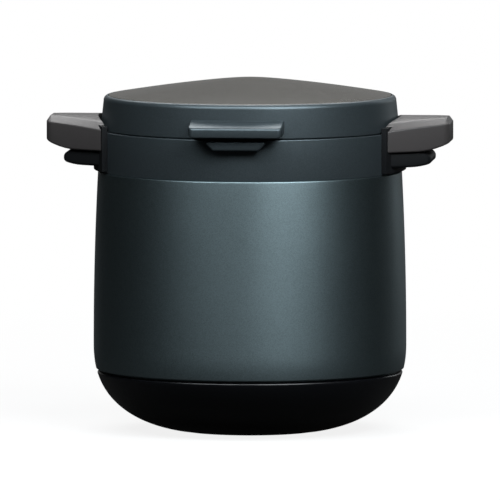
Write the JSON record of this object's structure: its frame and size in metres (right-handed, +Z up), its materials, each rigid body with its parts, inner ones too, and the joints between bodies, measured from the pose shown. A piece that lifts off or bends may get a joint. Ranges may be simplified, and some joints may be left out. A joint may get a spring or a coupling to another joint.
{
  "type": "thermal cooker",
  "caption": "Vacuum-insulated thermal cooker with a bowl-shaped base, ear handles, a rear-hinged insulated lid with a front lift tab, and an inner pot with a glass lid.",
  "frame": {"origin": "centre of the object's box on the plane it stands on, under the vessel's axis", "axes": "+Z up along the vessel's axis, +X through the right ear handle, -Y to the front tab"},
  "size_m": [0.329, 0.274, 0.2869],
  "materials": {
    "body_paint": "satin metallic dark teal",
    "vessel_steel": "satin",
    "base_black": "gloss black",
    "collar_graphite": "satin graphite",
    "lid_graphite": "satin graphite",
    "lid_top_taupe": "gloss taupe",
    "handle_taupe": "satin taupe",
    "handle_black": "satin black",
    "foot_rubber": "matt",
    "seal_silicone": "matt grey",
    "lid_foam": "cellular",
    "pan_grey": "satin grey",
    "pot_steel": "brushed",
    "pot_aluminium": "plain",
    "lid_glass": "clear",
    "knob_black": "satin black",
    "screw_steel": "zinc plated"
  },
  "bodies": {
    "vessel": {"outer_shell": "body_paint", "shell_floor": "vessel_steel", "vacuum_seal": "vessel_steel", "inner_liner": "vessel_steel", "base_cover": "base_black", "base_studs": "vessel_steel", "base_screws": "screw_steel", "foot_ring": "foot_rubber", "collar": "collar_graphite", "collar_seal": "seal_silicone", "collar_lip": "collar_graphite", "collar_screws": "screw_steel", "handle_bracket_left": "handle_black", "handle_bracket_right": "handle_black", "handle_cover_left": "handle_taupe", "handle_cover_right": "handle_taupe", "handle_screws": "screw_steel", "hinge_bracket": "handle_black", "hinge_pin": "screw_steel"},
    "lid": {"lid_shell": "lid_graphite", "lid_top_plate": "lid_top_taupe", "lid_foam": "lid_foam", "lid_liner": "pan_grey", "lid_gasket": "seal_silicone", "lid_tab": "lid_graphite", "lid_hinge_arm": "handle_black", "lid_screws": "screw_steel"},
    "pot": {"pot_body": "pot_steel", "pot_base_core": "pot_aluminium", "pot_base_cap": "pot_steel", "bail_ears": "pot_steel"},
    "bail": {"pot_bail": "pot_steel"},
    "pot_lid": {"pot_lid_glass": "lid_glass", "pot_lid_rim": "pot_steel", "pot_lid_knob": "knob_black", "knob_screw": "screw_steel", "knob_washers": "seal_silicone", "vent_grommet": "screw_steel"}
  },
  "joints": [
    {"name": "lid_hinge", "type": "hinge", "parent": "vessel", "child": "lid", "pos_m": [0, 0.131, 0.247], "axis": [-1, 0, 0], "range_deg": [0, 95]},
    {"name": "pot_lift", "type": "slide", "parent": "vessel", "child": "pot", "axis": [0, 0, 1], "range_m": [0, 0.003]},
    {"name": "bail_swing", "type": "hinge", "parent": "pot", "child": "bail", "pos_m": [0, 0, 0.2425], "axis": [1, 0, 0], "range_deg": [0, 5]},
    {"name": "pot_lid_lift", "type": "slide", "parent": "pot", "child": "pot_lid", "axis": [0, 0, 1], "range_m": [0, 0.003]}
  ]
}
